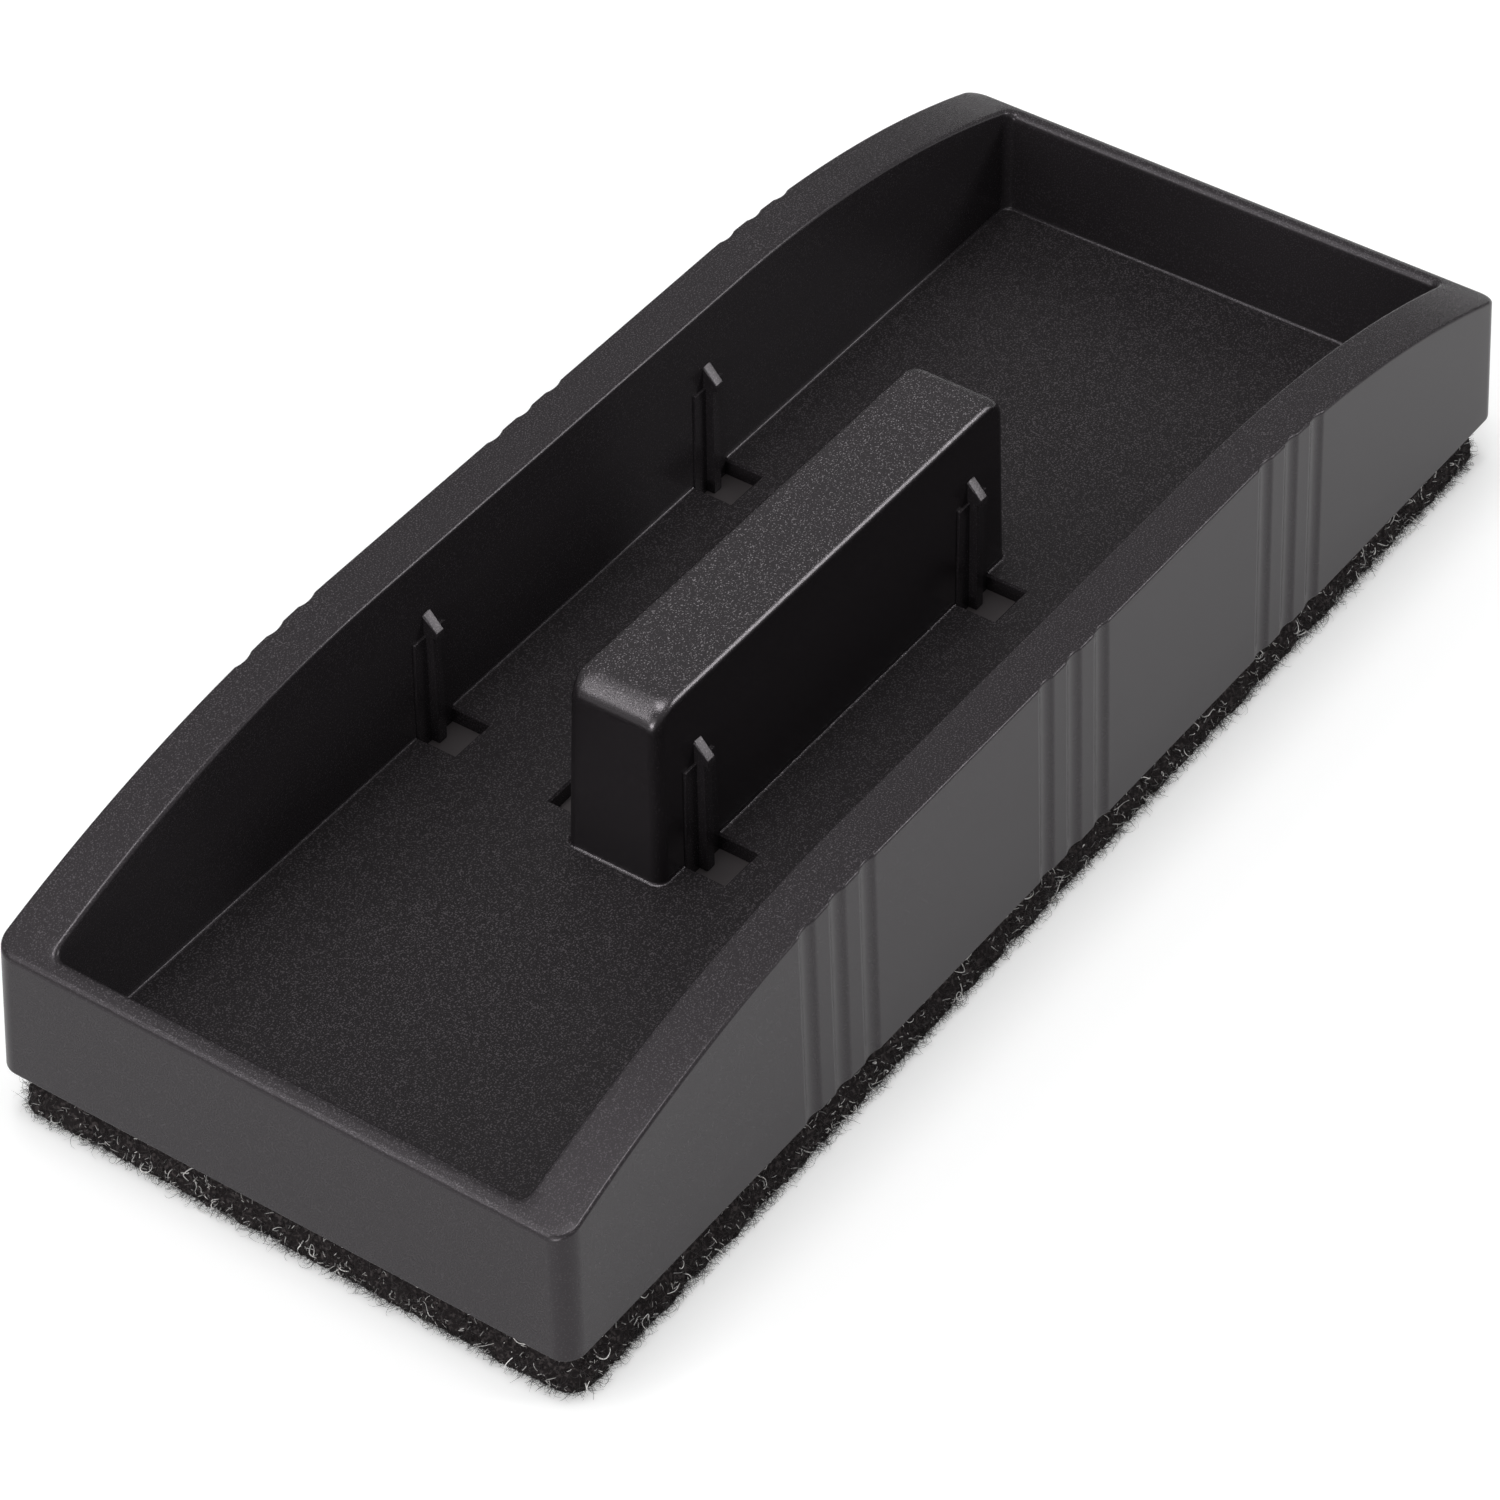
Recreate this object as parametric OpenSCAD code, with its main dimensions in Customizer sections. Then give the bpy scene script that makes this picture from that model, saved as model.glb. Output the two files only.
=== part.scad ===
// Board eraser with a marker tray: a one-piece moulded tray that snaps a
// marker in on each side of its finger block, and a felt pad glued under it.
// Millimetres. X runs along the tray, Y across it, Z up from the felt's face.

/* [Tray] */
// Length of the tray along its bottom edge
tray_l = 150; // [125:1:200]
// Width of the tray across its bottom edge
tray_w = 60.7; // [56:0.1:90]
// Height of the end rims above the bottom edge
end_h = 13.7; // [10:0.1:18]
// Height of the level middle of the side rims above the bottom edge
crown_h = 22.3; // [20:0.1:30]
// Length of the level middle of the side rims
crown_l = 56; // [20:1:90]
// Radius of the upright corners outside
corner_r = 2; // [1:0.1:5]
// Radius of the upright corners inside
pocket_r = 1; // [0.4:0.1:3]
// Draft of the tray's outer faces, in degrees
draft = 2.2; // [0.5:0.1:3]
// Draft of the tray's inner faces, in degrees
pocket_draft = 0.8; // [0.3:0.1:2]
// Thickness of the end walls at their rim
end_wall = 2.1; // [1.4:0.05:3]
// Width of the side rims at the crown
side_rim = 4.9; // [4:0.1:8]
// Thickness of the floor
floor_t = 1.75; // [1.2:0.05:3]
// Thickness of the skirt and of each skin round a cored-out hollow
skin = 1.6; // [1.2:0.1:1.8]
// Number of cored-out bays along each side wall
core_bays = 6; // [3:1:10]
// Thickness of the ribs between those bays
rib_t = 1.2; // [0.8:0.1:2]

/* [Finger block] */
// Length of the block at the floor
block_l = 55; // [50:1:90]
// Width of the block at the floor
block_w = 10.4; // [8:0.2:16]
// Radius of the block's upright corners at the floor
block_r = 1.2; // [0.8:0.1:3]
// Radius along the top of the block's long faces
block_edge_r = 0.9; // [0.4:0.1:1.5]
// Radius over the top of the block's ends
block_end_r = 2.7; // [2:0.1:5]
// Draft of the block's upright faces, in degrees
block_draft = 1.3; // [0.5:0.1:4]

/* [Snap hooks] */
// Distance of each hook from the middle of the tray
hook_x = 21.4; // [10:0.2:24]
// Thickness of a hook along the tray
hook_t = 1.15; // [0.8:0.05:2]
// How far a hook stands out from its face
hook_reach = 1.5; // [0.8:0.1:2.5]
// Height of a hook's top above the bottom edge
hook_top = 15.9; // [12:0.1:18]
// Fall of a hook's sloping lead-in face
hook_fall = 1.7; // [1:0.1:2.5]
// Height of a hook's blunt nose
hook_nose = 0.7; // [0.4:0.1:1.5]
// How far the stem under a hook stands out from its face
stem_reach = 1; // [0.6:0.1:1.5]
// Length of the window in the floor under a hook
window_l = 5; // [3:0.1:8]
// Width of that window across the tray
window_w = 4.3; // [2:0.1:6]
// Length of the seat behind a hook at its top, along the tray
seat_l = 4.4; // [2.4:0.1:6]
// How far that seat stands out from its face at its top
seat_d = 0.25; // [0.1:0.05:0.4]

/* [Grip grooves] */
// Distance between the groups of grooves along a side
group_pitch = 36.1; // [24:0.1:44]
// Number of grooves in a group
groove_n = 3; // [1:1:5]
// Distance between the grooves of a group
groove_pitch = 4.4; // [3.4:0.1:6]
// Width of a groove
groove_w = 2.3; // [1.5:0.1:3.2]
// Depth of a groove at its middle
groove_d = 0.24; // [0.1:0.02:0.5]

/* [Felt pad] */
// How far the felt stands out below the tray
pad_show = 5.2; // [2:0.1:10]
// Depth of the recess under the floor that takes the pad
recess_h = 1.2; // [0.6:0.1:3]
// Gap between the pad and the skirt round it
pad_gap = 0.2; // [0.1:0.05:1]
// Radius of the recess's upright corners
recess_r = 1; // [0.5:0.1:3]
// Thickness of the adhesive sheet
glue_t = 0.25; // [0.15:0.05:0.5]

/* [Hidden] */

// Overlap that makes cuts and joined solids clean
eps = 0.5;

slope = tan(draft);
pocket_slope = tan(pocket_draft);
block_slope = tan(block_draft);
floor_z = recess_h + floor_t;
hook_base = hook_top - hook_fall - hook_nose;
arch_run = tray_l / 2 - end_h * slope - crown_l / 2;
arch_drop = crown_h - end_h;
arch_r = (arch_run * arch_run + arch_drop * arch_drop) / (2 * arch_drop);
recess_x = tray_l / 2 - skin;
recess_y = tray_w / 2 - skin;
groove_r = (groove_w * groove_w / 4 + groove_d * groove_d) / (2 * groove_d);
end_z = crown_h - block_end_r;

// Half sizes at a height z above the tray's bottom edge
function outer_x(z) = tray_l / 2 - z * slope;
function outer_y(z) = tray_w / 2 - z * slope;
function pocket_x(z) = outer_x(end_h) - end_wall + (z - end_h) * pocket_slope;
function pocket_y(z) = outer_y(crown_h) - side_rim + (z - crown_h) * pocket_slope;
function block_x(z) = block_l / 2 - (z - floor_z) * block_slope;
function block_y(z) = block_w / 2 - (z - floor_z) * block_slope;

// Tapered box with rounded uprights: low and high are [half x, half y, z]
module tapered(low, high, r) {
    hull()
        for (p = [low, high], sx = [-1, 1], sy = [-1, 1])
            translate([sx * (p[0] - r), sy * (p[1] - r), p[2]])
                cylinder(r = r, h = 0.01, center = true, $fn = 48);
}

// Flat slab with rounded uprights, its underside at z = 0
module slab(hx, hy, h, r) {
    translate([-hx + r, -hy, 0]) cube([2 * (hx - r), 2 * hy, h]);
    translate([-hx, -hy + r, 0]) cube([2 * hx, 2 * (hy - r), h]);
    for (sx = [-1, 1], sy = [-1, 1])
        translate([sx * (hx - r), sy * (hy - r), 0]) cylinder(r = r, h = h, $fn = 48);
}

// Solid with a given outline in Y and Z and a length along X
module along_x(outline, length) {
    rotate([90, 0, 90]) linear_extrude(height = length, center = true) polygon(outline);
}

module both_sides() {
    for (sy = [0, 1]) mirror([0, sy, 0]) children();
}

module envelope() {
    tapered([outer_x(0), outer_y(0), 0], [outer_x(crown_h), outer_y(crown_h), crown_h], corner_r);
}

// What lies above the arched rims, lowered by drop
module above_arch(drop) {
    reach_x = tray_l / 2 + eps;
    for (sx = [-1, 1])
        difference() {
            translate([sx > 0 ? crown_l / 2 : -reach_x, -tray_w / 2 - eps, end_h / 2])
                cube([reach_x - crown_l / 2, tray_w + 2 * eps, crown_h]);
            translate([sx * crown_l / 2, 0, crown_h - arch_r - drop]) rotate([90, 0, 0])
                cylinder(r = arch_r, h = tray_w + 4 * eps, center = true, $fn = 720);
        }
}

module pocket() {
    top = crown_h + eps;
    tapered([pocket_x(floor_z), pocket_y(floor_z), floor_z], [pocket_x(top), pocket_y(top), top], pocket_r);
}

// The ends roll over at the top; the long faces keep a tighter edge
module block() {
    roll_y = block_y(crown_h - block_edge_r) - block_edge_r;
    hull()
        for (sx = [-1, 1], sy = [-1, 1]) {
            translate([sx * (block_x(floor_z) - block_r), sy * (block_y(floor_z) - block_r), floor_z - eps])
                cylinder(r = block_r, h = eps, $fn = 32);
            translate([sx * (block_x(end_z) - block_end_r), sy * roll_y, end_z]) rotate([90, 0, 0])
                rotate_extrude($fn = 64) translate([block_end_r - block_edge_r, 0]) circle(r = block_edge_r, $fn = 24);
        }
}

module block_core() {
    top_y = block_y(crown_h - skin) - skin;
    hull() {
        cube([2 * (block_x(0) - skin), 2 * (block_y(0) - skin), eps], center = true);
        for (sx = [-1, 1])
            translate([sx * (block_x(end_z) - block_end_r), 0, end_z]) rotate([90, 0, 0])
                cylinder(r = block_end_r - skin, h = 2 * top_y, center = true, $fn = 48);
    }
}

// Hollow between the two skins of a side wall, open below and ribbed
module wall_core() {
    top = crown_h - skin;
    bay_l = 2 * pocket_x(recess_h) / core_bays;
    difference() {
        along_x([
            [pocket_y(0) + skin, 0], [outer_y(0) - skin, 0],
            [outer_y(top) - skin, top], [pocket_y(top) + skin, top]
        ], core_bays * bay_l - rib_t);
        above_arch(skin);
        for (i = [1 : core_bays - 1])
            translate([(i - core_bays / 2) * bay_l, tray_w / 2, crown_h / 2])
                cube([rib_t, tray_w, 2 * crown_h], center = true);
    }
}

// Shallow flutes of one group, on the face that leans in with the draft
module groove_group() {
    translate([0, tray_w / 2, 0]) rotate([draft, 0, 0])
        for (i = [0 : groove_n - 1])
            translate([(i - (groove_n - 1) / 2) * groove_pitch, groove_r - groove_d, -eps])
                cylinder(r = groove_r, h = crown_h + 2 * eps, $fn = 180);
}

// One hook with its stem and the thin seat behind them, on a face at
// y0 + lean * z that looks towards way; the seat is as long as the window
// at the floor and shorter at its top
module hook(y0, lean, way) {
    top_y = y0 + lean * hook_top;
    base_y = y0 + lean * hook_base;
    low_y = y0 + lean * recess_h;
    along_x([
        [top_y - way * eps, hook_top], [top_y, hook_top],
        [top_y + way * hook_reach, hook_top - hook_fall], [top_y + way * hook_reach, hook_base],
        [base_y + way * stem_reach, hook_base], [low_y + way * stem_reach, recess_h],
        [low_y - way * eps, recess_h]
    ], hook_t);
    intersection() {
        along_x([
            [base_y - way * eps, hook_base], [base_y + way * seat_d, hook_base],
            [low_y + way * seat_d / 2, recess_h], [low_y - way * eps, recess_h]
        ], 2 * max(window_l, seat_l));
        translate([0, base_y, 0]) rotate([90, 0, 0]) linear_extrude(height = 8 * eps, center = true)
            polygon([
                [-window_l / 2, recess_h], [window_l / 2, recess_h], [window_l / 2, floor_z],
                [seat_l / 2, hook_base], [-seat_l / 2, hook_base], [-window_l / 2, floor_z]
            ]);
    }
}

// Window in the floor under a hook
module hook_window(y0, lean, way) {
    floor_y = y0 + lean * floor_z;
    along_x([
        [floor_y, -eps], [floor_y + way * window_w, -eps],
        [floor_y + way * window_w, floor_z + eps], [floor_y, floor_z + eps]
    ], window_l);
}

module tray() {
    wall_face = [pocket_y(0), pocket_slope, -1];
    block_face = [block_y(0), -block_slope, 1];
    color([0.16, 0.16, 0.17]) translate([0, 0, pad_show]) {
        difference() {
            union() {
                difference() {
                    envelope();
                    above_arch(0);
                    pocket();
                }
                block();
            }
            translate([0, 0, -eps]) slab(recess_x, recess_y, recess_h + eps, recess_r);
            block_core();
            both_sides() {
                wall_core();
                for (g = [-1 : 1]) translate([g * group_pitch, 0, 0]) groove_group();
                for (sx = [-1, 1], f = [wall_face, block_face])
                    translate([sx * hook_x, 0, 0]) hook_window(f[0], f[1], f[2]);
            }
        }
        both_sides()
            for (sx = [-1, 1], f = [wall_face, block_face])
                translate([sx * hook_x, 0, 0]) hook(f[0], f[1], f[2]);
    }
}

module adhesive_sheet() {
    color([0.5, 0.5, 0.5])
        translate([0, 0, pad_show + recess_h - glue_t])
            slab(recess_x - pad_gap, recess_y - pad_gap, glue_t, recess_r);
}

module felt_pad() {
    color([0.1, 0.09, 0.09])
        slab(recess_x - pad_gap, recess_y - pad_gap, pad_show + recess_h - glue_t, recess_r);
}

tray();
adhesive_sheet();
felt_pad();
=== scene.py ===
import math

import bmesh
import bpy
import numpy as np
from mathutils import Matrix, Vector


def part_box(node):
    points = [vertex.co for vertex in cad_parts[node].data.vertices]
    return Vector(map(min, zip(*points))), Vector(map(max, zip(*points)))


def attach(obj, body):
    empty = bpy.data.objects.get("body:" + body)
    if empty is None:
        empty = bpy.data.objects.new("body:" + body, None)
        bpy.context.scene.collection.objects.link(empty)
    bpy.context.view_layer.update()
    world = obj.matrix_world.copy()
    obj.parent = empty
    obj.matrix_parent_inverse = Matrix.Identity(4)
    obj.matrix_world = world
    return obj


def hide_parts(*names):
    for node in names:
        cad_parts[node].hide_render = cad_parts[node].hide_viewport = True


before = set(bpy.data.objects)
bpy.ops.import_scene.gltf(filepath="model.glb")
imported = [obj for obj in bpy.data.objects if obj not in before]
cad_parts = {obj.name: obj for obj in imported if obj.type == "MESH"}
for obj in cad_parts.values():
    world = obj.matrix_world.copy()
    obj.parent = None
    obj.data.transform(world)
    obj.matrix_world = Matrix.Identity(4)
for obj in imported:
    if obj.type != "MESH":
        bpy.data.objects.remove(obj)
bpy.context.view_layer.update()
mm = 0.001
scene = bpy.context.scene
print("frame loaded:", sorted(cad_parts))


# small helpers

def linkMesh(name, bm=None, mesh=None):
    if mesh is None:
        mesh = bpy.data.meshes.new(name)
        bm.to_mesh(mesh)
        bm.free()
    obj = bpy.data.objects.new(name, mesh)
    scene.collection.objects.link(obj)
    return obj


def bridge(bm, lower, upper, slot=0):
    count = len(lower)
    for i in range(count):
        j = (i + 1) % count
        face = bm.faces.new((lower[i], lower[j], upper[j], upper[i]))
        face.material_index = slot


def quarter(count):
    return [math.pi / 2 * i / count for i in range(count + 1)]


def levels(low, high, count):
    return [low + (high - low) * i / count for i in range(1, count)]


def carve(target, tool, operation):
    mod = target.modifiers.new("carve", "BOOLEAN")
    mod.operation = operation
    mod.solver = "EXACT"
    mod.object = tool
    graph = bpy.context.evaluated_depsgraph_get()
    made = bpy.data.meshes.new_from_object(target.evaluated_get(graph))
    target.modifiers.clear()
    target.data = made
    bpy.data.objects.remove(tool)


# the moulded tray: lengths in millimetres, heights above its own bottom edge
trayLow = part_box("tray")[0]
tray = {
    "length": 150.0,
    "width": 60.7,
    "crownHeight": 22.3,
    "crownLength": 56.0,      # level middle of the side rims
    "endHeight": 13.7,
    "draft": 2.2,             # degrees, outside
    "pocketDraft": 0.8,       # degrees, inside
    "cornerRadius": 2.0,
    "pocketRadius": 1.0,
    "endWall": 2.1,
    "sideRim": 4.9,
    "floorTop": 2.95,
    "recess": 1.2,
    "skirt": 1.6,
    "bottomRadius": 0.25,
    "sideOuterRadius": 0.3,
    "endOuterRadius": 0.5,
    "sideInnerRadius": 0.45,
    "endInnerRadius": 1.1,
    "floorFillet": 0.3,
    "recessRadius": 1.0,
    "sharpAngle": 40.0,       # degrees between faces, past which an edge stays sharp
    "flatWeight": 90,         # how much the large faces set the shading
    # how finely each part of the mesh is divided
    "steps": {"corner": 8, "end": 14, "bottom": 3, "wall": 7, "outerRim": 6, "across": 4,
              "innerRim": 7, "fillet": 4},
}
grooves = {
    "groups": (-1, 0, 1), "groupPitch": 36.1,
    "perGroup": 3, "pitch": 4.4, "width": 2.3, "depth": 0.24,
    "meshStep": 0.2, "meshMargin": 0.4,
    "meshColumns": 90,        # along the whole side, kept where no groove is
}
block = {
    "length": 55.0, "width": 10.4, "draft": 1.3, "cornerRadius": 1.2,
    "edgeRadius": 0.9,        # along the top of the long faces
    "endRadius": 2.7,         # over the top of each end
    "baseFillet": 0.3,
    "steps": {"along": 25, "corner": 8, "end": 8, "wall": 5, "roll": 7, "edge": 8, "fillet": 4},
}
hooks = {
    "x": 21.4, "thick": 1.15, "reach": 1.5, "top": 15.9, "fall": 1.7, "nose": 0.7, "stem": 1.0,
    "edge": 0.12,             # softening of all its edges
    "seat": 0.25, "seatLength": 4.4,
    "windowLength": 5.0, "windowWidth": 4.3, "windowEdge": 0.2, "windowSteps": 3,
    "cutterRise": 0.45,       # how far a window's cutter stands over the floor
}
traySlope = math.tan(math.radians(tray["draft"]))
pocketSlope = math.tan(math.radians(tray["pocketDraft"]))
blockSlope = math.tan(math.radians(block["draft"]))
archDrop = tray["crownHeight"] - tray["endHeight"]
archRun = tray["length"] / 2 - tray["endHeight"] * traySlope - tray["crownLength"] / 2
archRadius = (archRun ** 2 + archDrop ** 2) / (2 * archDrop)
grooveRadius = (grooves["width"] ** 2 / 4 + grooves["depth"] ** 2) / (2 * grooves["depth"])
hookBase = hooks["top"] - hooks["fall"] - hooks["nose"]
sink = 0.5                    # how far joined shapes reach into each other
leastRadius = 0.05            # of a corner that has drawn in


def outerHalf(z):
    return tray["length"] / 2 - z * traySlope, tray["width"] / 2 - z * traySlope


def pocketHalf(z):
    endX = outerHalf(tray["endHeight"])[0] - tray["endWall"]
    crownY = outerHalf(tray["crownHeight"])[1] - tray["sideRim"]
    return (endX + (z - tray["endHeight"]) * pocketSlope,
            crownY + (z - tray["crownHeight"]) * pocketSlope)


def roundOff(z, top, radius):
    # how far a face has drawn in at height z under a rounded top edge
    over = max(0.0, z - (top - radius))
    return radius - math.sqrt(max(0.0, radius ** 2 - over ** 2))


def blockHalf(z):
    lean = (z - tray["floorTop"]) * blockSlope
    top = tray["crownHeight"]
    return (block["length"] / 2 - lean - roundOff(z, top, block["endRadius"]),
            block["width"] / 2 - lean - roundOff(z, top, block["edgeRadius"]))


def rimHeight(x):
    past = max(0.0, abs(x) - tray["crownLength"] / 2)
    return tray["crownHeight"] - archRadius + math.sqrt(archRadius ** 2 - past ** 2)


def grooveDepth(x):
    first, last = grooves["groups"][0], grooves["groups"][-1]
    group = max(first, min(last, round(x / grooves["groupPitch"])))
    local = x - group * grooves["groupPitch"]
    reach = (grooves["perGroup"] - 1) / 2
    place = max(-reach, min(reach, round(local / grooves["pitch"] + reach) - reach))
    off = local - place * grooves["pitch"]
    if abs(off) >= grooves["width"] / 2:
        return 0.0
    return math.sqrt(grooveRadius ** 2 - off ** 2) - (grooveRadius - grooves["depth"])


# columns of the wall mesh, once round the tray: long sides, corners and ends
straight = outerHalf(0)[0] - tray["cornerRadius"]
knee = 60.0                   # past this the long sides stretch to meet each corner


def alongStations():
    step, margin = grooves["meshStep"], grooves["meshMargin"]
    half = (grooves["perGroup"] - 1) / 2 * grooves["pitch"] + grooves["width"] / 2 + margin
    places = {-straight, straight}
    for group in grooves["groups"]:
        for i in range(int(2 * half / step) + 1):
            places.add(round(group * grooves["groupPitch"] - half + i * step, 4))
    for x in np.linspace(-straight, straight, grooves["meshColumns"]):
        if all(abs(x - g * grooves["groupPitch"]) > half + margin for g in grooves["groups"]):
            places.add(round(float(x), 4))
    return sorted(places)


def loopStations(along, cornerSteps, endSteps):
    ends = [-1 + 2 * i / endSteps for i in range(1, endSteps)]
    turn = quarter(cornerSteps)
    out = [("long", -1, x) for x in along[1:-1]]
    out += [("corner", (1, -1), a - math.pi / 2) for a in turn]
    out += [("end", 1, t) for t in ends]
    out += [("corner", (1, 1), a) for a in turn]
    out += [("long", 1, x) for x in reversed(along[1:-1])]
    out += [("corner", (-1, 1), a + math.pi / 2) for a in turn]
    out += [("end", -1, -t) for t in ends]
    out += [("corner", (-1, -1), a + math.pi) for a in turn]
    return out


def endShare(station):
    # 0 on a long side, 1 on an end, between the two round a corner
    if station[0] == "corner":
        return math.cos(station[2]) ** 2
    return 1.0 if station[0] == "end" else 0.0


def onLoop(station, halfX, halfY, radius, reference):
    kind, side, where = station
    if kind == "long":
        reach = halfX - radius
        if abs(where) > knee and reference > knee:
            past = (abs(where) - knee) * (reach - knee) / (reference - knee)
            where = math.copysign(knee + past, where)
        elif reference <= knee:
            where *= reach / reference
        return where, side * halfY
    if kind == "end":
        return side * halfX, where * (halfY - radius)
    return (side[0] * (halfX - radius) + radius * math.cos(where),
            side[1] * (halfY - radius) + radius * math.sin(where))


def ring(bm, stations, halfAt, growAt, radius, heightAt, reference, fluted=False):
    verts = []
    for station in stations:
        grow = growAt(station)
        x, z = 0.0, 0.0
        for _ in range(3):    # the outline and the height settle on each other
            halfX, halfY = halfAt(z)
            turned = max(radius + grow, leastRadius)
            x, y = onLoop(station, halfX + grow, halfY + grow, turned, reference)
            z = heightAt(x, station)
        if fluted and station[0] == "long":
            y -= station[1] * grooveDepth(x)
        verts.append(bm.verts.new((x, y, z)))
    return verts


def trayShell():
    bm = bmesh.new()
    steps, floorTop = tray["steps"], tray["floorTop"]
    stations = loopStations(alongStations(), steps["corner"], steps["end"])

    def skirt(height):
        return ring(bm, stations, lambda z: outerHalf(0), lambda s: -tray["skirt"],
                    tray["recessRadius"] + tray["skirt"], lambda x, s: height, straight)

    def outer(growAt, heightAt):
        return ring(bm, stations, outerHalf, growAt, tray["cornerRadius"], heightAt, straight, True)

    def pocket(growAt, heightAt):
        return ring(bm, stations, pocketHalf, growAt, tray["pocketRadius"], heightAt, straight)

    def blended(side, end, station):
        return tray[side] + (tray[end] - tray[side]) * endShare(station)

    def outerRadius(station):
        return blended("sideOuterRadius", "endOuterRadius", station)

    def innerRadius(station):
        return blended("sideInnerRadius", "endInnerRadius", station)

    # up the outside, over the rim and down the inside to the floor
    rings = [skirt(tray["recess"]), skirt(0.0)]
    r = tray["bottomRadius"]
    for a in quarter(steps["bottom"]):
        rings.append(outer(lambda s, a=a: -r * (1 - math.sin(a)),
                           lambda x, s, a=a: r * (1 - math.cos(a))))
    for t in levels(0, 1, steps["wall"]):
        rings.append(outer(lambda s: 0.0,
                           lambda x, s, t=t: r + t * (rimHeight(x) - outerRadius(s) - r)))
    for a in quarter(steps["outerRim"]):
        rings.append(outer(lambda s, a=a: -outerRadius(s) * (1 - math.cos(a)),
                           lambda x, s, a=a: rimHeight(x) - outerRadius(s) * (1 - math.sin(a))))
    outerRim = rings[-1]
    innerRings = [pocket(lambda s, a=a: innerRadius(s) * (1 - math.sin(a)),
                         lambda x, s, a=a: rimHeight(x) - innerRadius(s) * (1 - math.cos(a)))
                  for a in quarter(steps["innerRim"])]
    for t in levels(0, 1, steps["across"]):
        across = []
        for p, q in zip(outerRim, innerRings[0]):
            co = p.co.lerp(q.co, t)
            co.z = rimHeight(co.x)
            across.append(bm.verts.new(co))
        rings.append(across)
    rings += innerRings
    rf = tray["floorFillet"]
    for t in levels(0, 1, steps["wall"]):
        rings.append(pocket(lambda s: 0.0, lambda x, s, t=t: (1 - t) * (rimHeight(x) - innerRadius(s))
                            + t * (floorTop + rf)))
    for a in quarter(steps["fillet"]):
        rings.append(pocket(lambda s, a=a: -rf * (1 - math.cos(a)),
                            lambda x, s, a=a: floorTop + rf * (1 - math.sin(a))))
    for low, high in zip(rings, rings[1:]):
        bridge(bm, low, high)
    bm.faces.new(list(reversed(rings[0])))

    # the finger block grows out of the floor
    top, rb = tray["crownHeight"], block["baseFillet"]
    endR, edgeR = block["endRadius"], block["edgeRadius"]
    steps, blockStraight = block["steps"], block["length"] / 2 - block["cornerRadius"]
    along = list(np.linspace(-blockStraight, blockStraight, steps["along"]))
    blockStations = loopStations(along, steps["corner"], steps["end"])
    heights = levels(floorTop + rb, top - endR, steps["wall"]) + [top - endR]
    heights += [top - endR + (endR - edgeR) * math.sin(a) for a in quarter(steps["roll"])[1:]]
    heights += [top - edgeR * (1 - math.sin(a)) for a in quarter(steps["edge"])[1:]]

    def blockRing(grow, height):
        return ring(bm, blockStations, blockHalf, lambda s: grow, block["cornerRadius"],
                    lambda x, s: height, blockStraight)

    blockRings = [blockRing(rb * (1 - math.sin(a)), floorTop + rb * (1 - math.cos(a)))
                  for a in quarter(steps["fillet"])]
    blockRings += [blockRing(0, h) for h in heights]
    for low, high in zip(blockRings, blockRings[1:]):
        bridge(bm, low, high, 2)
    bm.faces.new(blockRings[-1]).material_index = 2

    # the floor lies between the walls and the block
    rimEdges = [bm.edges.get((loop[i], loop[(i + 1) % len(loop)]))
                for loop in (rings[-1], blockRings[0]) for i in range(len(loop))]
    filled = bmesh.ops.triangle_fill(bm, use_beauty=True, use_dissolve=False, edges=rimEdges)
    for face in filled["geom"]:
        if isinstance(face, bmesh.types.BMFace):
            face.material_index = 1
    bmesh.ops.recalc_face_normals(bm, faces=bm.faces)
    body = linkMesh("tray_body", bm)
    for name in ("tray_shell", "tray_floor", "tray_block"):
        body.data.materials.append(bpy.data.materials.new(name))
    return body


def soften(bm, offset):
    bmesh.ops.bevel(bm, geom=bm.edges[:], offset=offset, segments=2, profile=0.5, affect="EDGES")


def prism(bm, outline, x, thick, edge):
    # outline in (y, z), given a thickness along x and softened edges
    part = bmesh.new()
    ends = [[part.verts.new((x + s * thick / 2, y, z)) for y, z in outline] for s in (-1, 1)]
    part.faces.new(ends[0])
    part.faces.new(list(reversed(ends[1])))
    for i in range(len(outline)):
        j = (i + 1) % len(outline)
        part.faces.new((ends[0][j], ends[0][i], ends[1][i], ends[1][j]))
    bmesh.ops.recalc_face_normals(part, faces=part.faces)
    soften(part, edge)
    spare = bpy.data.meshes.new("spare")
    part.to_mesh(spare)
    part.free()
    bm.from_mesh(spare)
    bpy.data.meshes.remove(spare)


def hookPlaces():
    # x, the face's y at a height, and the way that the face looks
    for sy in (-1, 1):
        for sx in (-1, 1):
            yield sx * hooks["x"], (lambda z, sy=sy: sy * pocketHalf(z)[1]), -sy
            yield sx * hooks["x"], (lambda z, sy=sy: sy * blockHalf(z)[1]), sy


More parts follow.
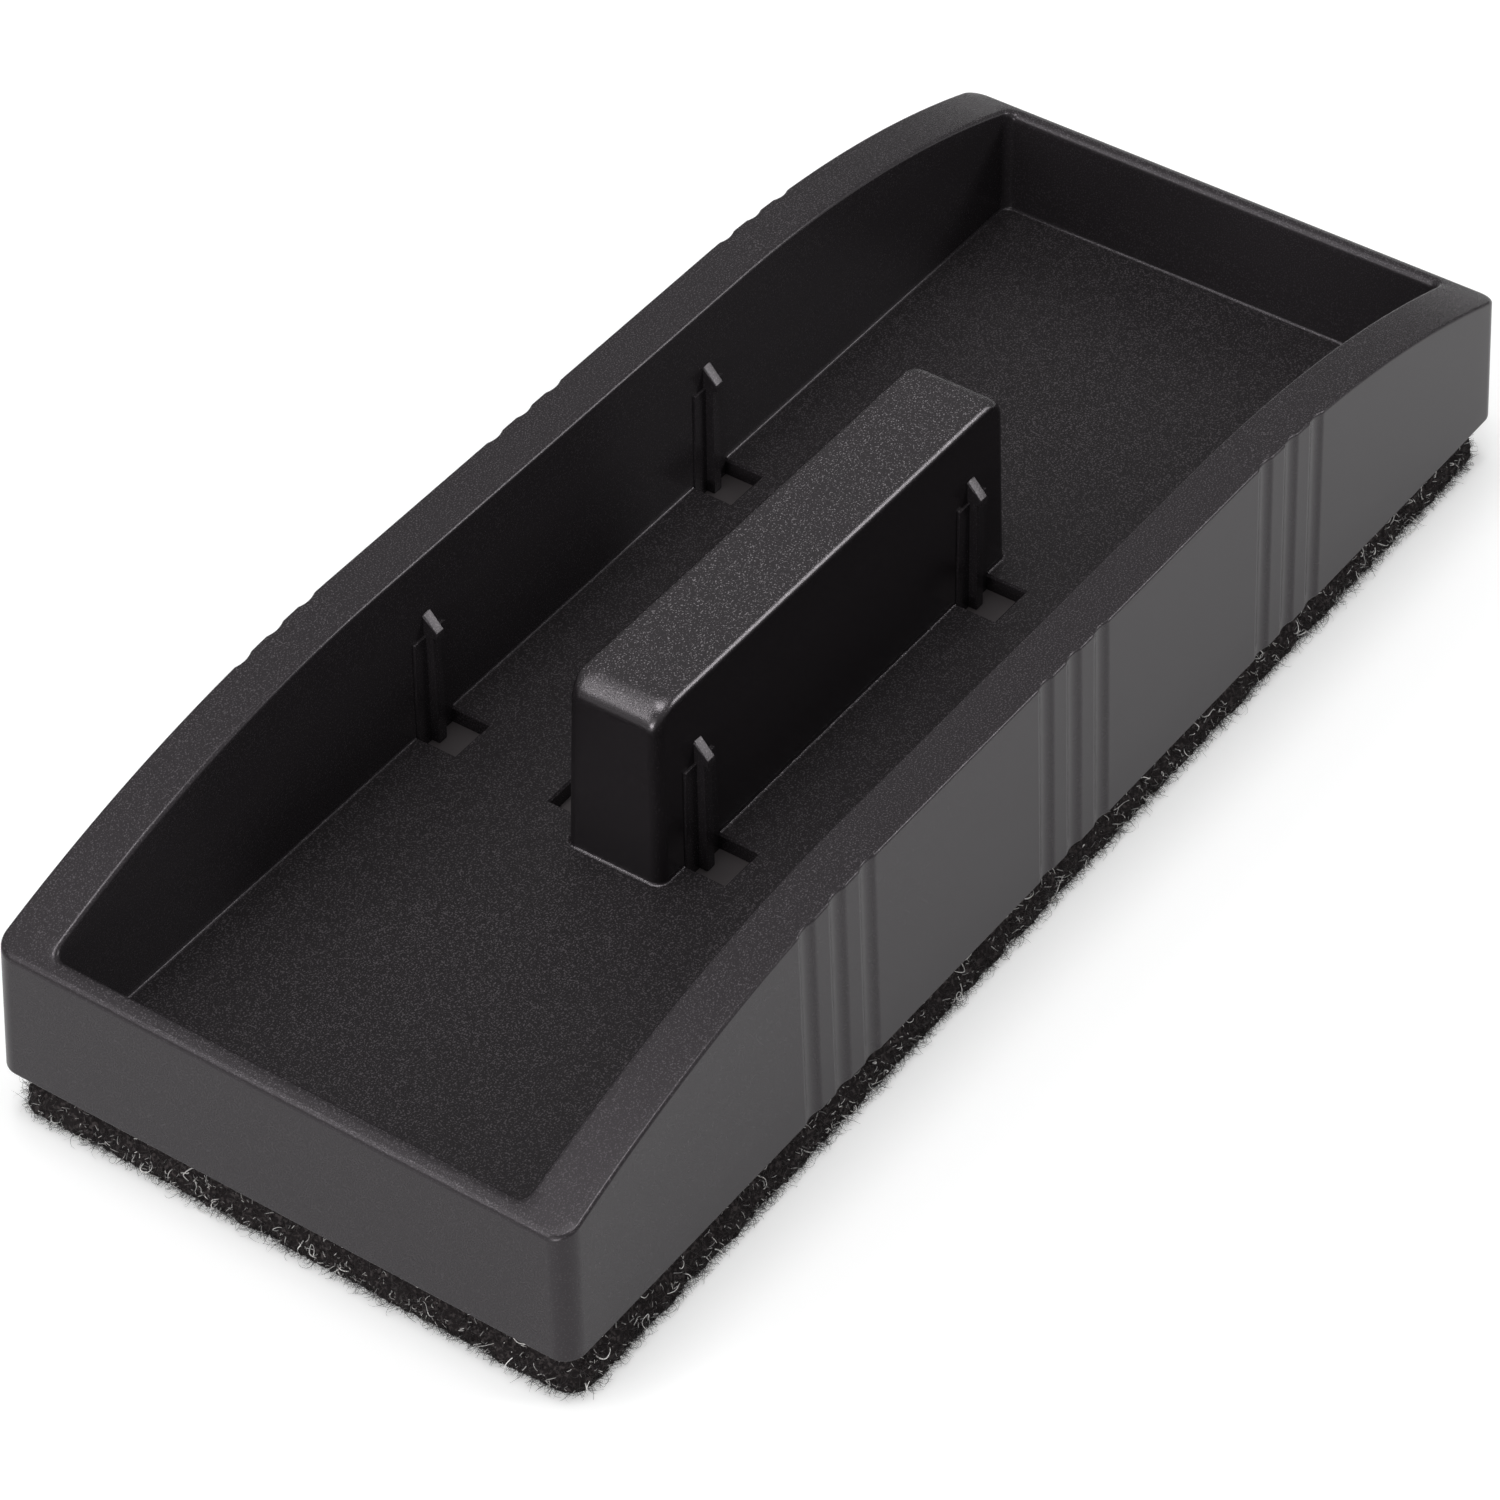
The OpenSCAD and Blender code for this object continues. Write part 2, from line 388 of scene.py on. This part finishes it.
def windowCutters():
    bm = bmesh.new()
    top, r = tray["floorTop"], hooks["windowEdge"]
    for x, faceY, way in hookPlaces():
        near = faceY(top)
        far = near + way * hooks["windowWidth"]
        shape = [(-sink, 0.0), (top - r, 0.0)]
        shape += [(top - r * math.cos(a), r * (1 - math.cos(a))) for a in quarter(hooks["windowSteps"])[1:]]
        shape.append((top + hooks["cutterRise"], r))
        loops = []
        for z, flare in shape:
            half = hooks["windowLength"] / 2 + flare
            edge = far + way * flare
            corners = [(x - half, near), (x + half, near), (x + half, edge), (x - half, edge)]
            loops.append([bm.verts.new((cx, cy, z)) for cx, cy in corners])
        for low, high in zip(loops, loops[1:]):
            bridge(bm, low, high)
        bm.faces.new(loops[0])
        bm.faces.new(loops[-1])
    bmesh.ops.recalc_face_normals(bm, faces=bm.faces)
    return linkMesh("window_cutters", bm)


def hookShapes():
    bm = bmesh.new()
    top, base, low = hooks["top"], hookBase, tray["recess"]
    for x, faceY, way in hookPlaces():
        nose = faceY(top) + way * hooks["reach"]
        outline = [
            (faceY(top) - way * sink, top), (faceY(top), top),
            (nose, top - hooks["fall"]), (nose, base),
            (faceY(base) + way * hooks["stem"], base), (faceY(low) + way * hooks["stem"], low),
            (faceY(low) - way * sink, low),
        ]
        prism(bm, outline, x, hooks["thick"], hooks["edge"])
    return linkMesh("hook_shapes", bm)


def hookSeats():
    # as long as the window at the floor, shorter and prouder at the top
    bm = bmesh.new()
    base, low = hookBase, tray["recess"]
    below, above = hooks["windowLength"], hooks["seatLength"]
    for x, faceY, way in hookPlaces():
        loops = []
        for z, length in ((low, below), (tray["floorTop"], below), (base, above)):
            proud = hooks["seat"] * (0.5 + 0.5 * (z - low) / (base - low))
            back, front = faceY(z) - way * sink, faceY(z) + way * proud
            start, end = x - length / 2, x + length / 2
            corners = [(start, back), (end, back), (end, front), (start, front)]
            loops.append([bm.verts.new((cx, cy, z)) for cx, cy in corners])
        for lower, upper in zip(loops, loops[1:]):
            bridge(bm, lower, upper)
        bm.faces.new(loops[0])
        bm.faces.new(loops[-1])
    bmesh.ops.recalc_face_normals(bm, faces=bm.faces)
    soften(bm, hooks["edge"] / 2)
    return linkMesh("hook_seats", bm)


trayPiece = trayShell()
carve(trayPiece, windowCutters(), "DIFFERENCE")
carve(trayPiece, hookSeats(), "UNION")
carve(trayPiece, hookShapes(), "UNION")
trayPiece.data.transform(Matrix.Translation((0, 0, trayLow.z)) @ Matrix.Scale(mm, 4))
trayPiece.data.shade_smooth()
trayPiece.data.set_sharp_from_angle(angle=math.radians(tray["sharpAngle"]))
flatten = trayPiece.modifiers.new("flatFaces", "WEIGHTED_NORMAL")
flatten.keep_sharp = True
flatten.weight = tray["flatWeight"]
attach(trayPiece, "root")
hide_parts("tray")
print("tray built:", len(trayPiece.data.polygons), "faces")


# the felt pad: a needled slab that spreads towards its face, and the loose fibres on it
padLow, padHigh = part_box("felt_pad")
padHalf = np.array(((padHigh.x - padLow.x) / 2, (padHigh.y - padLow.y) / 2)) / mm
padTop = padHigh.z / mm
pad = {
    "step": 0.28, "rows": 24, "corner": 1.2, "seed": 11,
    "rowBias": 1.2,           # the rows lie closer together towards the face
    "spread": {"near": 0.75, "far": 0.7, "left": 0.7, "right": 1.1},   # how far the sides spread below
    "rightTaper": 0.35,       # the right side spreads more towards the near end
    "spreadTop": 4.4,         # height where the sides start to spread
    "spreadFull": 1.2,        # height below which they spread no further
    "edge": 0.35,             # rounding of the lower edge
    "rough": 0.1,
    "lumps": 0.04, "lumpWaves": 8, "lumpLength": (3, 14),
    "lumpSkew": 4.5,          # radians that a lump may lean over the height
    "lumpFade": 2.0,          # the lumps end that far below the tray
}
padRound = 4 * padHalf.sum() - (8 - 2 * math.pi) * pad["corner"]
fibres = {
    # lengths and radii in millimetres, bend in radians, heights as a share of the side
    "fuzz": {"count": 15000, "length": (0.4, 1.3), "radius": 0.018, "steps": 3, "bend": (0.3, 2.2),
             "heights": (0.01, 0.75), "out": (0.15, 0.9), "reach": 0.7, "tone": (0.0, 0.5)},
    "fringe": {"count": 5500, "length": (0.5, 1.5), "radius": 0.014, "steps": 4, "bend": (0.3, 2.0),
               "heights": (0.008, 0.14), "out": (0.5, 1.0), "reach": 0.9, "tone": (0.0, 0.3)},
    "hairs": {"count": 1200, "length": (0.9, 2.4), "radius": 0.022, "steps": 8, "bend": (0.8, 4.0),
              "heights": (0.008, 0.2), "out": (0.6, 1.0), "reach": 1.3, "tone": (0.0, 0.2)},
    "loops": {"count": 1500, "length": (1.2, 3.4), "radius": 0.02, "steps": 9, "bend": (3.0, 8.0),
              "heights": (0.01, 0.4), "out": (0.3, 1.0), "reach": 0.8, "tone": (0.0, 0.5)},
    # short fibres painted white to stand in for the glints of the felt's fibres; the curls below are pale
    # fibres whose white is partly painted glint
    "paintedGlints": {"count": 3200, "length": (0.25, 0.9), "radius": 0.04, "steps": 3, "bend": (0.3, 1.6),
               "heights": (0.02, 0.7), "out": (0.1, 0.7), "reach": 0.5, "tone": (0.6, 1.0)},
    "curls": {"count": 340, "length": (0.8, 3.0), "radius": 0.06, "steps": 12, "bend": (2.0, 6.5),
              "heights": (0.02, 0.75), "out": (0.3, 0.9), "reach": 0.8, "tone": (0.8, 1.0)},
}
fibreRules = {
    "seed": 23,
    "lowBias": 1.4,           # more of them start low
    "root": 0.06,             # how deep in the side they start
    "rise": (-0.7, 0.5),      # share of up and down in the first heading
    "bendJitter": (0.6, 1.4),
    "pull": 0.6,              # share of an overreach that is drawn back
    "clear": 0.02,            # least way out from the side
    "lowest": 0.04, "roof": 1.5,   # least height, and room left under the pad's top
    "thickness": (0.7, 1.3), "taper": 0.6, "sides": 3,
}


def padSide(distance):
    # points of the pad's outline and the ways out from it, that far round
    radius = pad["corner"]
    flat = 2 * (padHalf - radius)
    arc = radius * math.pi / 2
    runs = np.array([flat[0], arc, flat[1], arc] * 2)
    starts = np.concatenate(([0], np.cumsum(runs)[:-1]))
    piece = np.clip(np.searchsorted(starts, distance, side="right") - 1, 0, 7)
    along = distance - starts[piece]
    turn = piece // 2 * math.pi / 2
    isArc = piece % 2 == 1
    half = np.where((piece // 2 % 2 == 0)[:, None], padHalf, padHalf[::-1])
    angle = np.where(isArc, along / radius - math.pi / 2, -math.pi / 2)
    out = np.stack((np.cos(angle), np.sin(angle)), 1)
    reach = half[:, 0] - radius
    centre = np.stack((np.where(isArc, reach, along - reach), radius - half[:, 1]), 1)
    point = centre + out * radius
    spin = np.stack((np.cos(turn), np.sin(turn)), 1)

    def turned(v):
        return np.stack((v[:, 0] * spin[:, 0] - v[:, 1] * spin[:, 1],
                         v[:, 0] * spin[:, 1] + v[:, 1] * spin[:, 0]), 1)

    return turned(point), turned(out)


def padReach(point, out, z):
    # how far the side stands out from the pad's upper outline at height z
    spread = pad["spread"]
    right = spread["right"] - pad["rightTaper"] * point[:, 0] / padHalf[0]
    wide = (np.where(out[:, 0] < 0, spread["near"], spread["far"]) * out[:, 0] ** 2
            + np.where(out[:, 1] < 0, right, spread["left"]) * out[:, 1] ** 2)
    t = np.clip((pad["spreadTop"] - z) / (pad["spreadTop"] - pad["spreadFull"]), 0, 1)
    lower = np.clip(1 - z / pad["edge"], 0, 1) ** 2
    return wide * t * t * (3 - 2 * t) - pad["edge"] * lower


def feltPad():
    rng = np.random.default_rng(pad["seed"])
    columns, rows = int(padRound / pad["step"]), pad["rows"]
    distance = padRound * np.arange(columns) / columns
    point, out = padSide(distance)
    lumps = np.zeros((columns, rows + 1))
    for _ in range(pad["lumpWaves"]):
        phase = rng.uniform(0, 2 * math.pi, 2)[0]
        pace = 2 * math.pi * round(padRound / rng.uniform(*pad["lumpLength"])) / padRound
        lean = rng.uniform(-pad["lumpSkew"], pad["lumpSkew"]) * np.arange(rows + 1) / rows
        lumps += np.sin(pace * distance[:, None] + phase + lean)
    bm = bmesh.new()
    grid = []
    for r in range(rows + 1):
        z = padTop * (r / rows) ** pad["rowBias"]
        shift = padReach(point, out, np.full(columns, z))
        if r < rows:
            shift += pad["rough"] * rng.normal(0, 1, columns)
            shift += pad["lumps"] * lumps[:, r] * min(1, (padTop - z) / pad["lumpFade"])
        place = point + out * shift[:, None]
        grid.append([bm.verts.new((x, y, z)) for x, y in place])
    for low, high in zip(grid, grid[1:]):
        bridge(bm, low, high)
    bm.faces.new(list(reversed(grid[0])))
    bm.faces.new(grid[-1])
    bmesh.ops.recalc_face_normals(bm, faces=bm.faces)
    return linkMesh("felt_body", bm)


def unit(v):
    return v / np.linalg.norm(v, axis=-1, keepdims=True)


def fibrePaths(rng, spec):
    # many paths that start on the pad's side and bend away from it
    count, steps = spec["count"], spec["steps"]
    point, out = padSide(rng.uniform(0, padRound, count))
    low, high = (padTop * share for share in spec["heights"])
    z = low + (high - low) * rng.random(count) ** fibreRules["lowBias"]
    rooted = padReach(point, out, z) - fibreRules["root"]
    start = np.column_stack((point + out * rooted[:, None], z))
    out = np.column_stack((out, np.zeros(count)))
    along = np.column_stack((-out[:, 1], out[:, 0], np.zeros(count)))
    heading = unit(out * rng.uniform(*spec["out"], (count, 1)) + along * rng.uniform(-1, 1, (count, 1))
                   + np.array((0, 0, 1)) * rng.uniform(*fibreRules["rise"], (count, 1)))
    axis = unit(rng.normal(0, 1, (count, 3)))
    length = rng.uniform(*spec["length"], count)
    bend = rng.uniform(*spec["bend"], count) / steps
    path = [start]
    for _ in range(steps):
        angle = (bend * rng.uniform(*fibreRules["bendJitter"], count))[:, None]
        heading = (heading * np.cos(angle) + np.cross(axis, heading) * np.sin(angle)
                   + axis * (axis * heading).sum(1, keepdims=True) * (1 - np.cos(angle)))
        step = path[-1] + heading * (length / steps)[:, None]
        away = ((step - start) * out).sum(1)
        over = away - spec["reach"]
        back = np.where(over > 0, over * fibreRules["pull"], np.minimum(away - fibreRules["clear"], 0))
        step -= out * back[:, None]
        step[:, 2] = np.clip(step[:, 2], fibreRules["lowest"], padTop - fibreRules["roof"])
        path.append(step)
    tone = rng.uniform(*spec["tone"], count)
    radius = spec["radius"] * rng.uniform(*fibreRules["thickness"], count)
    return np.stack(path, 1), radius, tone


def tubeMesh(name, bundles):
    # thin tubes along all the paths, in one mesh
    verts, faces, tones, first = [], [], [], 0
    sides = fibreRules["sides"]
    turn = 2 * math.pi / sides * np.arange(sides)
    aside = np.array((0.31, 0.52, 0.795))   # a fixed way to square the tubes to
    for paths, radii, tone in bundles:
        count, points = paths.shape[:2]
        ahead = np.gradient(paths, axis=1)
        side = unit(np.cross(ahead, aside))
        other = unit(np.cross(ahead, side))
        taper = radii[:, None] * (1 - fibreRules["taper"] * np.arange(points) / points)
        around = side[:, :, None] * np.cos(turn)[:, None] + other[:, :, None] * np.sin(turn)[:, None]
        verts.append((paths[:, :, None] + around * taper[:, :, None, None]).reshape(-1, 3))
        corner = first + np.arange(count * points * sides).reshape(count, points, sides)
        beside = np.roll(corner, -1, axis=2)
        walls = np.stack((corner[:, :-1], beside[:, :-1], beside[:, 1:], corner[:, 1:]), -1).reshape(-1, 4)
        faces += walls.tolist() + corner[:, 0, ::-1].tolist() + corner[:, -1].tolist()
        tones.append(np.repeat(tone, points * sides))
        first += count * points * sides
    mesh = bpy.data.meshes.new(name)
    mesh.from_pydata(np.concatenate(verts).tolist(), [], faces)
    layer = mesh.attributes.new("tone", "FLOAT", "POINT")
    layer.data.foreach_set("value", np.concatenate(tones).astype(np.float32))
    mesh.shade_smooth()
    return linkMesh(name, mesh=mesh)


def feltFibres():
    rng = np.random.default_rng(fibreRules["seed"])
    return tubeMesh("felt_fibres", [fibrePaths(rng, spec) for spec in fibres.values()])


padPiece = feltPad()
fibrePiece = feltFibres()
for piece in (padPiece, fibrePiece):
    piece.data.transform(Matrix.Translation((0, 0, padLow.z)) @ Matrix.Scale(mm, 4))
    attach(piece, "root")
padPiece.data.shade_smooth()
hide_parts("felt_pad")
print("felt built:", len(padPiece.data.polygons), "faces,",
      len(fibrePiece.data.polygons), "fibre faces")


# finishes

def newGroup(name, inputs, outputs):
    group = bpy.data.node_groups.new(name, "ShaderNodeTree")
    for label, kind, value in inputs:
        socket = group.interface.new_socket(label, in_out="INPUT", socket_type="NodeSocket" + kind)
        socket.default_value = value
    for label, kind in outputs:
        group.interface.new_socket(label, in_out="OUTPUT", socket_type="NodeSocket" + kind)
    return group, group.nodes.new("NodeGroupInput"), group.nodes.new("NodeGroupOutput")


def addNode(tree, kind, **values):
    node = tree.nodes.new("ShaderNode" + kind)
    for key, value in values.items():
        if hasattr(node, key):
            setattr(node, key, value)
        else:
            node.inputs[key].default_value = value
    return node


def mathNode(tree, operation, a, b=None):
    node = tree.nodes.new("ShaderNodeMath")
    node.operation = operation
    for socket, value in zip(node.inputs, (a, b)):
        if value is None:
            continue
        if hasattr(value, "links"):
            tree.links.new(value, socket)
        else:
            socket.default_value = value
    return node.outputs[0]


def mapTo(tree, value, low, high, fromLow=0.0, fromHigh=1.0):
    node = addNode(tree, "MapRange")
    ends = {"From Min": fromLow, "From Max": fromHigh, "To Min": low, "To Max": high}
    for label, number in ends.items():
        node.inputs[label].default_value = number
    tree.links.new(value, node.inputs["Value"])
    return node.outputs["Result"]


grain = {
    "speckScale": 0.8,        # of the specks' noise, against that of the bumps
    "speckEdge": 0.12,        # softness of the specks' outlines
    "standing": 0.45, "lying": 0.95,   # upward share of the normal on upright and on level faces
}


def sparkGrain():
    # fine eroded grain of the mould: bumps, a mask of its bright specks, and slow clouds;
    # the bright specks are partly the grain's own lighter flecks and partly painted glints of the
    # grain where it catches the light; Upright is the share of it that faces standing in the draft
    # keep, so level faces carry the most painted glints
    group, inside, outside = newGroup(
        "sparkGrain",
        [("Size", "Float", 0.2), ("Cloud", "Float", 9.0), ("Sparse", "Float", 0.53),
         ("Upright", "Float", 1.0)],
        [("Height", "Float"), ("FleckGlintMask", "Float"), ("Clouds", "Float")])
    place = addNode(group, "TexCoord")
    fineScale = mathNode(group, "DIVIDE", 1 / mm, inside.outputs["Size"])
    speckScale = mathNode(group, "MULTIPLY", fineScale, grain["speckScale"])
    cloudScale = mathNode(group, "DIVIDE", 1 / mm, inside.outputs["Cloud"])
    fine = addNode(group, "TexNoise", Detail=2.0, Roughness=0.6)
    flecksAndGlints = addNode(group, "TexNoise", Detail=1.0, Roughness=0.5)
    clouds = addNode(group, "TexNoise", Detail=3.0, Roughness=0.55)
    for node, scale in ((fine, fineScale), (flecksAndGlints, speckScale), (clouds, cloudScale)):
        group.links.new(place.outputs["Object"], node.inputs["Vector"])
        group.links.new(scale, node.inputs["Scale"])
    split = addNode(group, "SeparateXYZ")
    group.links.new(addNode(group, "NewGeometry").outputs["Normal"], split.inputs[0])
    lying = mapTo(group, split.outputs["Z"], 0, 1, grain["standing"], grain["lying"])
    upright = mathNode(group, "SUBTRACT", 1.0, lying)
    kept = mathNode(group, "MULTIPLY", upright, inside.outputs["Upright"])
    share = mathNode(group, "ADD", lying, kept)
    # the bright specks: the grain's lighter flecks and painted glints
    above = mathNode(group, "SUBTRACT", flecksAndGlints.outputs["Fac"], inside.outputs["Sparse"])
    sharp = mathNode(group, "DIVIDE", above, grain["speckEdge"])
    sharp.node.use_clamp = True
    group.links.new(mathNode(group, "MULTIPLY", fine.outputs["Fac"], share), outside.inputs["Height"])
    group.links.new(mathNode(group, "MULTIPLY", sharp, share), outside.inputs["FleckGlintMask"])
    group.links.new(clouds.outputs["Fac"], outside.inputs["Clouds"])
    return group


grainGroup = sparkGrain()


def newMaterial(name):
    material = bpy.data.materials.get(name) or bpy.data.materials.new(name)
    material.use_nodes = True
    tree = material.node_tree
    return material, tree, tree.nodes["Principled BSDF"]


def placeGroup(tree, group, **values):
    node = tree.nodes.new("ShaderNodeGroup")
    node.node_tree = group
    for label, value in values.items():
        node.inputs[label].default_value = value
    return node


def mixColour(tree, factor, a, b):
    node = tree.nodes.new("ShaderNodeMix")
    node.data_type = "RGBA"
    tree.links.new(factor, node.inputs["Factor"])
    for socket, value in ((node.inputs["A"], a), (node.inputs["B"], b)):
        if hasattr(value, "links"):
            tree.links.new(value, socket)
        else:
            socket.default_value = (*value, 1)
    return node.outputs["Result"]


def bumpTo(tree, shader, height, depth):
    bump = addNode(tree, "Bump")
    bump.inputs["Strength"].default_value = 1.0
    bump.inputs["Distance"].default_value = depth * mm
    tree.links.new(height, bump.inputs["Height"])
    tree.links.new(bump.outputs["Normal"], shader.inputs["Normal"])


plastic = {
    "ior": 1.59, "tint": (0.98, 0.92, 0.97, 1),
    "duller": 0.04, "shinier": 0.1,   # change of roughness between the specks and on them
}
finishes = {
    # size of the specks and depth of the grain in millimetres, upright as in sparkGrain;
    # light is the colour of the bright specks, partly the grain's own flecks and partly painted glints
    "tray_shell": {
        "dark": (0.0203, 0.0178, 0.0197), "light": (0.084, 0.077, 0.083), "rough": 0.225, "gloss": 0.295,
        "size": 0.11, "sparse": 0.56, "upright": 0.3, "depth": 0.012,
    },
    "tray_floor": {
        "dark": (0.0088, 0.0076, 0.0083), "light": (0.069, 0.0625, 0.067), "rough": 0.4, "gloss": 0.26,
        "size": 0.12, "sparse": 0.545, "upright": 1.0, "depth": 0.014,
    },
    # the block's bright specks are lighter still, chiefly on its top and the rounds over its ends: painted
    # sparkle of the highlights there, on top of the grain's own flecks
    "tray_block": {
        "dark": (0.0125, 0.0108, 0.0119), "light": (0.198, 0.184, 0.194), "rough": 0.21, "gloss": 0.64,
        "size": 0.12, "sparse": 0.595, "upright": 0.08, "depth": 0.02,
    },
}


def mouldedPlastic(name, look):
    tree, shader = newMaterial(name)[1:]
    texture = placeGroup(tree, grainGroup, Size=look["size"], Sparse=look["sparse"], Upright=look["upright"])
    flecksAndGlints = texture.outputs["FleckGlintMask"]
    # bright specks in the base colour: the grain's lighter flecks and painted glints
    tree.links.new(mixColour(tree, flecksAndGlints, look["dark"], look["light"]), shader.inputs["Base Color"])
    rough = mapTo(tree, flecksAndGlints, look["rough"] + plastic["duller"], look["rough"] - plastic["shinier"])
    tree.links.new(rough, shader.inputs["Roughness"])
    bumpTo(tree, shader, texture.outputs["Height"], look["depth"])
    shader.inputs["IOR"].default_value = plastic["ior"]
    shader.inputs["Specular IOR Level"].default_value = look["gloss"]
    shader.inputs["Specular Tint"].default_value = plastic["tint"]


for name, look in finishes.items():
    mouldedPlastic(name, look)

feltLook = {
    "dark": (0.016, 0.013, 0.0135), "light": (0.055, 0.047, 0.047), "rough": 0.9, "gloss": 0.15,
    "size": 0.3, "depth": 0.2,
}
# light is the colour of the pale fibres, partly their own colour and partly painted glints
fibreLook = {
    "dark": (0.012, 0.0105, 0.011), "mid": (0.07, 0.062, 0.062), "light": (0.92, 0.9, 0.88),
    "midTones": (0.2, 0.5), "lightTones": (0.55, 0.9),   # tones over which the next colour comes in
    "rough": 0.35, "sheenRough": 0.4,
}
adhesiveLook = {
    "dark": (0.041, 0.0357, 0.0373), "light": (0.061, 0.053, 0.0555), "rough": 0.45, "cloud": 4.0,
}


def feltFinish():
    material, tree, shader = newMaterial("felt_needled")
    texture = placeGroup(tree, grainGroup, Size=feltLook["size"])
    colour = mixColour(tree, texture.outputs["FleckGlintMask"], feltLook["dark"], feltLook["light"])
    tree.links.new(colour, shader.inputs["Base Color"])
    bumpTo(tree, shader, texture.outputs["Height"], feltLook["depth"])
    shader.inputs["Roughness"].default_value = feltLook["rough"]
    shader.inputs["Specular IOR Level"].default_value = feltLook["gloss"]
    return material


def fibreFinish():
    material, tree, shader = newMaterial("felt_fibre")
    tone = addNode(tree, "Attribute", attribute_name="tone").outputs["Fac"]
    midShare = mapTo(tree, tone, 0, 1, *fibreLook["midTones"])
    paleGlintShare = mapTo(tree, tone, 0, 1, *fibreLook["lightTones"])
    darker = mixColour(tree, midShare, fibreLook["dark"], fibreLook["mid"])
    # pale fibres painted near white: partly their own colour, partly painted glints
    tree.links.new(mixColour(tree, paleGlintShare, darker, fibreLook["light"]), shader.inputs["Base Color"])
    tree.links.new(paleGlintShare, shader.inputs["Sheen Weight"])
    shader.inputs["Sheen Roughness"].default_value = fibreLook["sheenRough"]
    shader.inputs["Roughness"].default_value = fibreLook["rough"]
    return material


def adhesiveFinish():
    material, tree, shader = newMaterial("adhesive_film")
    texture = placeGroup(tree, grainGroup, Cloud=adhesiveLook["cloud"])
    colour = mixColour(tree, texture.outputs["Clouds"], adhesiveLook["dark"], adhesiveLook["light"])
    tree.links.new(colour, shader.inputs["Base Color"])
    shader.inputs["Roughness"].default_value = adhesiveLook["rough"]
    return material


padPiece.data.materials.append(feltFinish())
fibrePiece.data.materials.append(fibreFinish())
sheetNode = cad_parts["adhesive_sheet"]
sheetNode.data.materials.clear()
sheetNode.data.materials.append(adhesiveFinish())
print("finishes made:", len(bpy.data.materials))


# floor, light and camera
stageSet = {
    "floorHalf": 3.0, "floorDrop": 0.0002, "floorGrey": 0.8,
    "lift": 0.03,             # glow of the floor to the camera and in gloss
    "seenLift": 0.27,         # more of it to the camera alone
    "horizon": 0.15, "zenith": 0.48,   # strength of the world's light
}
lamps = [
    # name, place in metres, the way that its first side runs, sides, watts
    ("key", (-0.16, 0.12, 2.0), (1, -0.22, 0), (0.9, 0.9), 18.0),
    ("left", (-1.24, 0.86, 1.31), (0.73, 0, 0.69), (1.8, 0.17), 7.2),
    ("right", (1.2, -1.3, 0.9), (0, 0.57, 0.82), (0.75, 0.42), 8.6),
    ("front", (-1.9, 0.1, 0.7), (0, 1, 0), (1.9, 1.0), 5.0),
    ("low", (-1.95, -0.3, 0.3), (0.15, -0.98, 0), (0.8, 0.3), 10.0),
]
camera = {
    "place": (-0.32488, -0.22545, 0.35845),
    "look": (0.6056, 0.42902, -0.67022),
    "up": (0.55088, 0.38177, 0.74215),
    "lens": 140.4, "sensor": 36.0, "clip": (0.01, 20),
}


def studioFloor():
    half, drop = stageSet["floorHalf"], stageSet["floorDrop"]
    bm = bmesh.new()
    corners = ((-half, -half), (half, -half), (half, half), (-half, half))
    bm.faces.new([bm.verts.new((x, y, -drop)) for x, y in corners])
    floor = linkMesh("studio_floor", bm)
    material, tree, shader = newMaterial("floor_white")
    shader.inputs["Roughness"].default_value = 1.0
    shader.inputs["Specular IOR Level"].default_value = 0.0
    shader.inputs["Base Color"].default_value = (*[stageSet["floorGrey"]] * 3, 1)
    path = addNode(tree, "LightPath")
    seen = path.outputs["Is Camera Ray"]
    shown = seen
    for label in ("Is Glossy Ray", "Is Transmission Ray"):
        shown = mathNode(tree, "MAXIMUM", shown, path.outputs[label])
    lift = mathNode(tree, "MULTIPLY", shown, stageSet["lift"])
    more = mathNode(tree, "MULTIPLY", seen, stageSet["seenLift"])
    tree.links.new(mathNode(tree, "ADD", lift, more), shader.inputs["Emission Strength"])
    shader.inputs["Emission Color"].default_value = (1, 1, 1, 1)
    floor.data.materials.append(material)


def facing(back, along):
    # a turn whose own z points to back and whose own x runs along
    back = back.normalized()
    right = (along - back * along.dot(back)).normalized()
    return Matrix((right, back.cross(right), back)).transposed().to_4x4()


def studioLight():
    world = bpy.data.worlds.new("studio")
    scene.world = world
    world.use_nodes = True
    tree = world.node_tree
    back = tree.nodes["Background"]
    back.inputs["Color"].default_value = (1, 1, 1, 1)
    split = addNode(tree, "SeparateXYZ")
    tree.links.new(addNode(tree, "TexCoord").outputs["Generated"], split.inputs[0])
    strength = mapTo(tree, split.outputs["Z"], stageSet["horizon"], stageSet["zenith"])
    tree.links.new(strength, back.inputs["Strength"])
    for name, place, along, size, watts in lamps:
        light = bpy.data.lights.new(name, "AREA")
        light.shape = "RECTANGLE"
        light.size, light.size_y = size
        light.energy = watts
        lamp = bpy.data.objects.new(name, light)
        lamp.matrix_world = Matrix.Translation(place) @ facing(Vector(place), Vector(along))
        scene.collection.objects.link(lamp)


def studioCamera():
    data = bpy.data.cameras.new("photoCamera")
    data.sensor_width = camera["sensor"]
    data.lens = camera["lens"]
    data.clip_start, data.clip_end = camera["clip"]
    back = -Vector(camera["look"])
    obj = bpy.data.objects.new("photoCamera", data)
    obj.matrix_world = Matrix.Translation(camera["place"]) @ facing(back, Vector(camera["up"]).cross(back))
    scene.collection.objects.link(obj)
    scene.camera = obj


studioFloor()
studioLight()
studioCamera()
scene.view_settings.view_transform = "Standard"
print("stage set")
